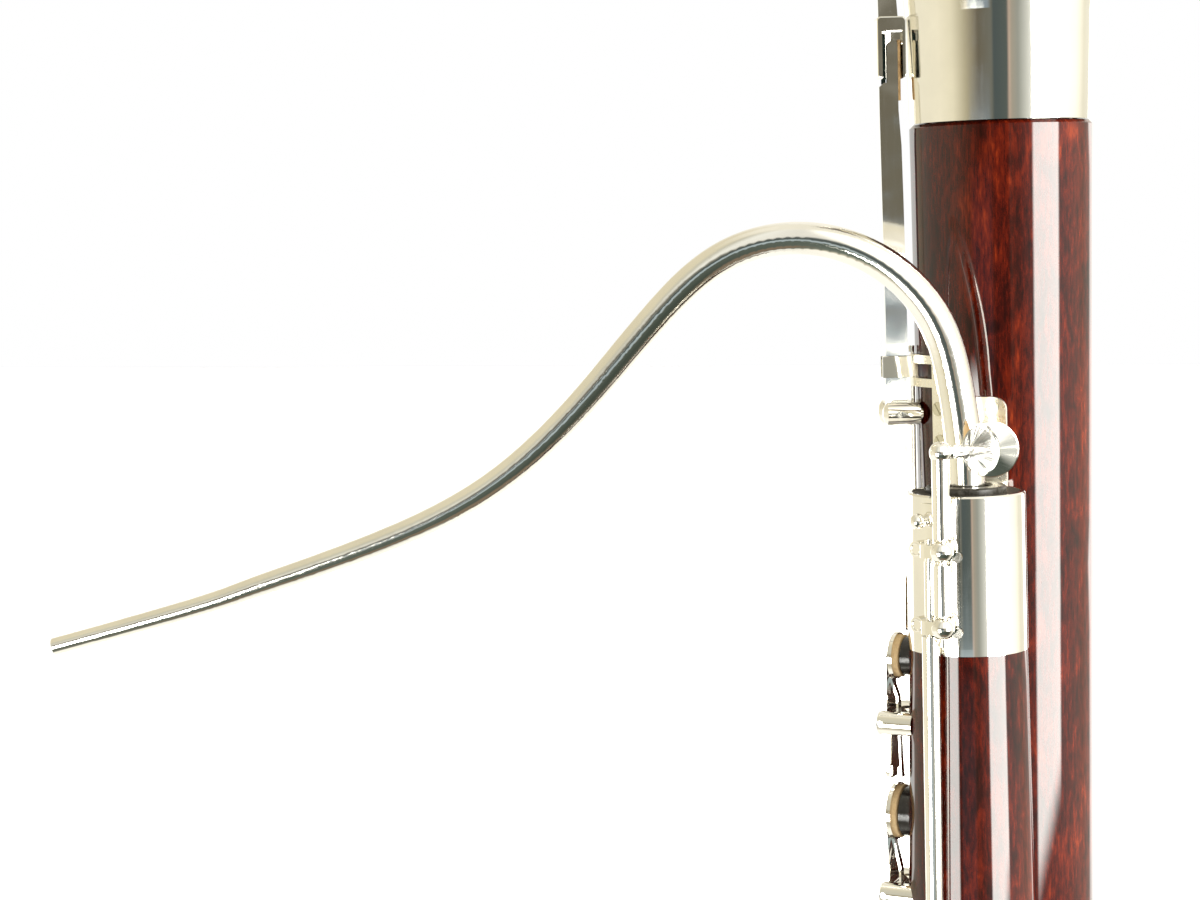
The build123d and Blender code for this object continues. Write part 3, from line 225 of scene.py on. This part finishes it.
def maple():
    """Red-stained figured maple under thick gloss lacquer."""
    made, kit, main = material("maple_red", (0.10, 0.012, 0.004))
    cloud = kit.noise(60.0, 3.0, stretch=(1, 1, 0.45), rough=0.55, twist=0.6)
    flame = kit.noise(210.0, 3.0, stretch=(1, 1, 0.40), rough=0.6, twist=1.0)
    fleck = kit.noise(900.0, 4.0, stretch=(1, 1, 0.20), rough=0.7)
    fibre = kit.noise(2600.0, 2.0, stretch=(1, 1, 0.06), rough=0.5)
    tone = kit.math("MULTIPLY", cloud, 0.27)
    tone = kit.math("ADD", tone, kit.math("MULTIPLY", flame, 0.25))
    tone = kit.math("ADD", tone, kit.math("MULTIPLY", fleck, 0.36))
    tone = kit.math("ADD", tone, kit.math("MULTIPLY", fibre, 0.12))
    stain = kit.ramp(tone, (
        (0.37, (0.006, 0.0010, 0.0007)),
        (0.44, (0.016, 0.0016, 0.0008)),
        (0.50, (0.036, 0.0028, 0.0010)),
        (0.56, (0.068, 0.0056, 0.0014)),
        (0.61, (0.120, 0.0125, 0.0024)),
        (0.68, (0.230, 0.0300, 0.0046)),
    ))
    link(kit, stain, main, "Base Color")
    link(kit, kit.span(fleck, 0.3, 0.7, 0.45, 0.62), main, "Roughness")
    main.inputs["Specular IOR Level"].default_value = 0.0
    main.inputs["Coat Weight"].default_value = 1.0
    main.inputs["Coat Roughness"].default_value = 0.02
    main.inputs["Coat IOR"].default_value = 1.5
    link(kit, kit.bump(fleck, 0.25, 0.00005), main, "Normal")
    wavy = kit.noise(30.0, 2.0, stretch=(1, 1, 0.4))
    link(kit, kit.bump(wavy, 0.3, 0.0002), main, "Coat Normal")
    return made


def soft(name, light, dark, scale, rough, depth, stretch=(1, 1, 1), shine=0.5):
    """Leather, cork, rubber, thread and the dark painted-shade sheet: mottled colour with a fine
    grain.
    """
    made, kit, main = material(name, light)
    grain = kit.noise(scale, 5.0, stretch=stretch, rough=0.65)
    broad = kit.noise(scale * 0.12, 2.0)
    share = kit.span(kit.mix(0.4, grain, broad), 0.35, 0.65)
    link(kit, kit.mix(share, dark, light), main, "Base Color")
    link(kit, kit.span(grain, 0.3, 0.7, rough - 0.08, rough + 0.08), main, "Roughness")
    link(kit, kit.bump(grain, 0.5, depth), main, "Normal")
    main.inputs["Specular IOR Level"].default_value = shine
    return made


MATERIALS = {
    "maple_red": maple(),
    "silver_plate": silver("silver_plate", WARM_SILVER, 0.035, 0.10, 0.10),
    "brushed_silver": silver("brushed_silver", (0.93, 0.90, 0.84), 0.14, 0.24, 0.35),
    "steel": silver("steel", (0.78, 0.77, 0.74), 0.18, 0.30, 0.30),
    "pad_leather": soft(
        "pad_leather", (0.84, 0.62, 0.34), (0.68, 0.46, 0.23), 1400, 0.62, 0.00008
    ),
    "cork": soft("cork", (0.62, 0.40, 0.18), (0.30, 0.17, 0.07), 900, 0.85, 0.0002),
    "thread": soft(
        "thread", (0.42, 0.06, 0.04), (0.20, 0.03, 0.02), 700, 0.8, 0.0002, (0.2, 0.2, 3)
    ),
    "black_rubber": soft(
        "black_rubber", (0.030, 0.026, 0.024), (0.016, 0.014, 0.013), 800, 0.20, 0.00003
    ),
    "white_ring": soft(
        "white_ring", (0.85, 0.82, 0.75), (0.76, 0.72, 0.64), 60, 0.22, 0.00001
    ),
}

DULL_RUBBER = soft(
    "dull_rubber", (0.050, 0.043, 0.034), (0.022, 0.019, 0.015), 500, 0.50, 0.00004, shine=0.06
)
COLLAR_RUBBER = soft(
    "collar_rubber", (0.040, 0.036, 0.029), (0.018, 0.016, 0.013), 700, 0.30, 0.00003, shine=0.25
)
# painted shade: a near-black sheet colour that stands in for the shade inside the stirrup's window
STIRRUP_SHADE_SHEET = soft(
    "painted_shade_sheet", (0.020, 0.032, 0.028), (0.006, 0.012, 0.010), 2400, 0.90, 0.0001, shine=0.10
)

KEY_SILVER = silver("silver_plate_keys", WARM_SILVER, 0.07, 0.15, 0.10, wave=0.0003)
ROD_SILVER = silver("silver_plate_rods", WARM_SILVER, 0.13, 0.20, 0.10)
LEVER_SILVER = silver(
    "silver_plate_lever", WARM_SILVER, 0.06, 0.12, 0.10, wave=0.0005, slope=0.38
)
SPECIAL = {
    "whisper_key": turned_silver("silver_plate_turned", WARM_SILVER),
    "whisper_lever": ROD_SILVER,
    "bocal_tube": silver("silver_plate_crook", WARM_SILVER, 0.075, 0.12, 0.08),
    "long_b_flat_lever": LEVER_SILVER,
    "bell_key": LEVER_SILVER,
    "body_lock_plate": silver("silver_plate_lock", (0.94, 0.90, 0.78), 0.24, 0.32, 0.20),
    "lock_plate_screws": silver("silver_plate_screws", (0.70, 0.66, 0.52), 0.16, 0.26, 0.40),
    "wing_lining": DULL_RUBBER,
    "bocal_collar": COLLAR_RUBBER,
}

for name, piece in NODES.items():
    made = SPECIAL.get(name)
    if made is None and name.endswith(("_key", "_key_upper", "_key_lower")):
        made = KEY_SILVER
    piece.data.materials.clear()
    piece.data.materials.append(made or MATERIALS[SLOT_OF[name]])


def stirrup_painted_shade():
    """Dark sheet in the stirrup, behind the lever's tongue: painted shade that darkens the
    stirrup's shadowed inside.
    """
    outward = (0.0325, 0.0338)
    sideways = (-0.00169, -0.00136)
    upward = (1.0163, 1.0318)
    corners = [(x, y, z) for x in outward for y in sideways for z in upward]
    faces = [(0, 1, 3, 2), (4, 6, 7, 5), (0, 4, 5, 1), (2, 3, 7, 6), (0, 2, 6, 4), (1, 5, 7, 3)]
    mesh = bpy.data.meshes.new("stirrup_painted_shade")
    mesh.from_pydata(corners, [], faces)
    mesh.transform(
        Matrix.Translation((0, LONG_AXIS_Y, 0)) @ Matrix.Rotation(LEVER_TURN, 4, "Z")
    )
    piece = bpy.data.objects.new("stirrup_painted_shade", mesh)
    bpy.context.scene.collection.objects.link(piece)
    softened = piece.modifiers.new("softened", "BEVEL")
    softened.width = 0.0001
    softened.segments = 3
    mesh.materials.append(STIRRUP_SHADE_SHEET)
    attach(piece, "bell_key_body")


stirrup_painted_shade()


# --------------------------------------------------------------- studio light
CAMERA_PLACE = Vector((0.1700, -0.6542, 0.9785))
CAMERA_TURN = math.radians(23.77)
CAMERA_DIP = math.radians(5.26)
CAMERA_ROLL = math.radians(-1.59)
CAMERA_LENS = 71.73
KEY_POWER = 18.0
LOW_KEY_POWER = 15.0
LIGHT_WARMTH = 0.95
FLOOR_HALF = 15


def studio():
    """Surround seen by the object: two big soft boxes, a dark camera side.

    Turns are degrees round the object from the camera, rises are degrees up.
    """
    world = bpy.data.worlds.new("studio")
    bpy.context.scene.world = world
    world.use_nodes = True
    tree = world.node_tree
    tree.nodes.clear()
    kit = Shader(tree)
    way = kit.add("ShaderNodeTexCoord").outputs["Generated"]
    parts = kit.add("ShaderNodeSeparateXYZ", {0: way}).outputs
    s, c = math.sin(CAMERA_TURN), math.cos(CAMERA_TURN)
    ahead = kit.math("ADD", kit.math("MULTIPLY", parts[0], s), kit.math("MULTIPLY", parts[1], -c))
    right = kit.math("ADD", kit.math("MULTIPLY", parts[0], c), kit.math("MULTIPLY", parts[1], s))
    turn = kit.math("ARCTAN2", right, ahead)
    turn = kit.math("ADD", kit.math("DIVIDE", turn, 2 * math.pi), 0.5)
    rise = kit.math("DIVIDE", kit.math("ARCSINE", parts[2]), math.pi / 2)

    def at(degrees):
        return degrees / 360.0 + 0.5

    def level(degrees):
        return degrees / 90.0

    def box(low, high, bottom, top, edge=2.0, end=1.4, lean=0.0):
        """Mask of a patch of the surround: turn and rise limits in degrees."""
        height = kit.math("SUBTRACT", turn, at(low))
        height = kit.math("SUBTRACT", rise, kit.math("MULTIPLY", height, lean))
        sides = kit.math(
            "MULTIPLY",
            kit.span(turn, at(low - edge), at(low + edge)),
            kit.span(turn, at(high - edge), at(high + edge), 1.0, 0.0),
        )
        ends = kit.math(
            "MULTIPLY",
            kit.span(height, level(bottom - end), level(bottom + end)),
            kit.span(rise, level(top - end), level(top + end), 1.0, 0.0),
        )
        return kit.math("MULTIPLY", sides, ends)

    eye_band = kit.ramp(turn, [(at(a), v) for a, v in (
        (-180, (0.95, 0.95, 0.92)),
        (-170, (1.15, 1.15, 1.10)),
        (-160, (1.55, 1.55, 1.48)),
        (-150, (2.20, 2.18, 2.08)),
        (-141, (3.00, 2.95, 2.80)),
        (-138, (0.95, 0.90, 0.74)),
        (-128, (0.92, 0.87, 0.70)),
        (-90, (0.95, 0.89, 0.70)),
        (-70, (0.86, 0.80, 0.60)),
        (-53, (0.50, 0.45, 0.31)),
        (-36, (0.15, 0.13, 0.09)),
        (-20, (0.17, 0.17, 0.14)),
        (-17, (0.08, 0.10, 0.10)),
        (-1, (0.10, 0.12, 0.11)),
        (1, (0.60, 0.45, 0.36)),
        (4, (0.40, 0.36, 0.29)),
        (12, (0.34, 0.35, 0.31)),
        (24, (0.70, 0.71, 0.65)),
        (34, (1.00, 1.00, 0.96)),
        (70, (1.40, 1.38, 1.28)),
        (95, (1.30, 1.26, 1.10)),
        (112, (0.92, 0.88, 0.72)),
        (127, (0.95, 0.92, 0.80)),
        (130, (4.40, 4.30, 4.05)),
        (140, (3.10, 3.05, 2.90)),
        (150, (2.20, 2.18, 2.08)),
        (160, (1.55, 1.55, 1.48)),
        (170, (1.15, 1.15, 1.10)),
    )])
    overhead = kit.ramp(turn, [(at(a), v) for a, v in (
        (-180, (1.00, 0.98, 0.90)),
        (-150, (0.78, 0.71, 0.53)),
        (-70, (0.76, 0.70, 0.52)),
        (-48, (0.62, 0.60, 0.50)),
        (-30, (0.95, 0.95, 0.88)),
        (-12, (0.85, 0.83, 0.76)),
        (-4, (1.60, 1.58, 1.48)),
        (30, (1.90, 1.88, 1.80)),
        (95, (1.20, 1.16, 1.02)),
        (150, (1.05, 1.02, 0.92)),
    )])
    below = kit.ramp(turn, [(at(a), v) for a, v in (
        (-180, (1.10, 1.08, 1.00)),
        (-75, (1.15, 1.12, 1.02)),
        (-58, (0.60, 0.56, 0.44)),
        (-44, (0.16, 0.19, 0.16)),
        (-10, (0.10, 0.12, 0.10)),
        (30, (0.06, 0.075, 0.06)),
        (66, (0.08, 0.085, 0.065)),
        (84, (0.45, 0.42, 0.32)),
        (100, (1.00, 0.97, 0.86)),
        (150, (1.15, 1.13, 1.05)),
    )])
    room = kit.mix(kit.span(rise, level(3), level(17)), eye_band, overhead)
    room = kit.mix(kit.span(rise, level(50), level(75)), room, (0.95, 0.91, 0.78))
    room = kit.mix(kit.span(rise, level(-24), level(-12), 1.0, 0.0), room, below)
    rug = kit.span(rise, level(-62), level(-50), 1.0, 0.0)
    front = box(-34, 74, -78, -50, 8, 4)
    room = kit.mix(kit.math("MULTIPLY", rug, front), room, (0.22, 0.17, 0.12))
    foot = kit.span(rise, level(-84), level(-76), 1.0, 0.0)
    room = kit.mix(foot, room, (0.95, 0.93, 0.85))

    blue = box(-48, -22, -6.0, -0.5, 3, 1.0)
    room = kit.mix(kit.math("MULTIPLY", blue, 0.8), room, (0.30, 0.37, 0.43))
    glow = box(-24, 2, -19, -9.5, 3, 1.5)
    room = kit.mix(kit.math("MULTIPLY", glow, 0.8), room, (0.52, 0.62, 0.66))

    key = kit.math("MULTIPLY", box(30, 66, -16.4, 52, end=0.9, lean=0.30), KEY_POWER)
    low_key = kit.math("MULTIPLY", box(-53, -29, -31, -5.5), LOW_KEY_POWER)
    lights = kit.math("ADD", key, low_key)
    warm = kit.math("MULTIPLY", lights, LIGHT_WARMTH)
    shine = kit.add("ShaderNodeCombineColor", {0: lights, 1: lights, 2: warm})
    total = kit.mix(1.0, room, shine.outputs[0], "ADD")
    total.node.clamp_result = False
    seen = kit.add("ShaderNodeBackground", {"Color": (1, 1, 1, 1), "Strength": 1.0})
    cast = kit.add("ShaderNodeBackground", {"Color": total, "Strength": 1.0})
    path = kit.add("ShaderNodeLightPath").outputs["Is Camera Ray"]
    both = kit.add("ShaderNodeMixShader", {0: path, 1: cast.outputs[0], 2: seen.outputs[0]})
    kit.add("ShaderNodeOutputWorld", {"Surface": both.outputs[0]})


studio()


def pale_floor():
    """Plain pale sheet that the instrument stands on."""
    corners = [(x * FLOOR_HALF, y * FLOOR_HALF, 0) for x, y in ((-1, -1), (1, -1), (1, 1), (-1, 1))]
    mesh = bpy.data.meshes.new("floor")
    mesh.from_pydata(corners, [], [(0, 1, 2, 3)])
    paint, kit, main = material("floor", (0.8, 0.8, 0.79))
    tone = kit.mix(kit.noise(3.0, 3.0), (0.575, 0.58, 0.60), (0.555, 0.56, 0.58))
    link(kit, tone, main, "Base Color")
    main.inputs["Roughness"].default_value = 0.9
    mesh.materials.append(paint)
    floor = bpy.data.objects.new("floor", mesh)
    bpy.context.scene.collection.objects.link(floor)
    floor.visible_glossy = False


pale_floor()


# --------------------------------------------------------------------- camera
def main_camera():
    """Camera in front of the crook's socket, a little above it and dipped."""
    yaw, dip, roll = CAMERA_TURN, CAMERA_DIP, CAMERA_ROLL
    look = Vector((-math.sin(yaw) * math.cos(dip), math.cos(yaw) * math.cos(dip), -math.sin(dip)))
    right = Vector((math.cos(yaw), math.sin(yaw), 0))
    up = right.cross(look)
    side = math.cos(roll) * right + math.sin(roll) * up
    head = -math.sin(roll) * right + math.cos(roll) * up
    lens = bpy.data.cameras.new("camera")
    lens.sensor_width = 36.0
    lens.lens = CAMERA_LENS
    lens.clip_start = 0.02
    lens.clip_end = 60.0
    camera = bpy.data.objects.new("camera", lens)
    bpy.context.scene.collection.objects.link(camera)
    place = Matrix((side, head, -look)).transposed().to_4x4()
    place.translation = CAMERA_PLACE
    camera.matrix_world = place
    bpy.context.scene.camera = camera


main_camera()
bpy.context.scene.view_settings.view_transform = "Standard"
bpy.context.scene.view_settings.look = "None"
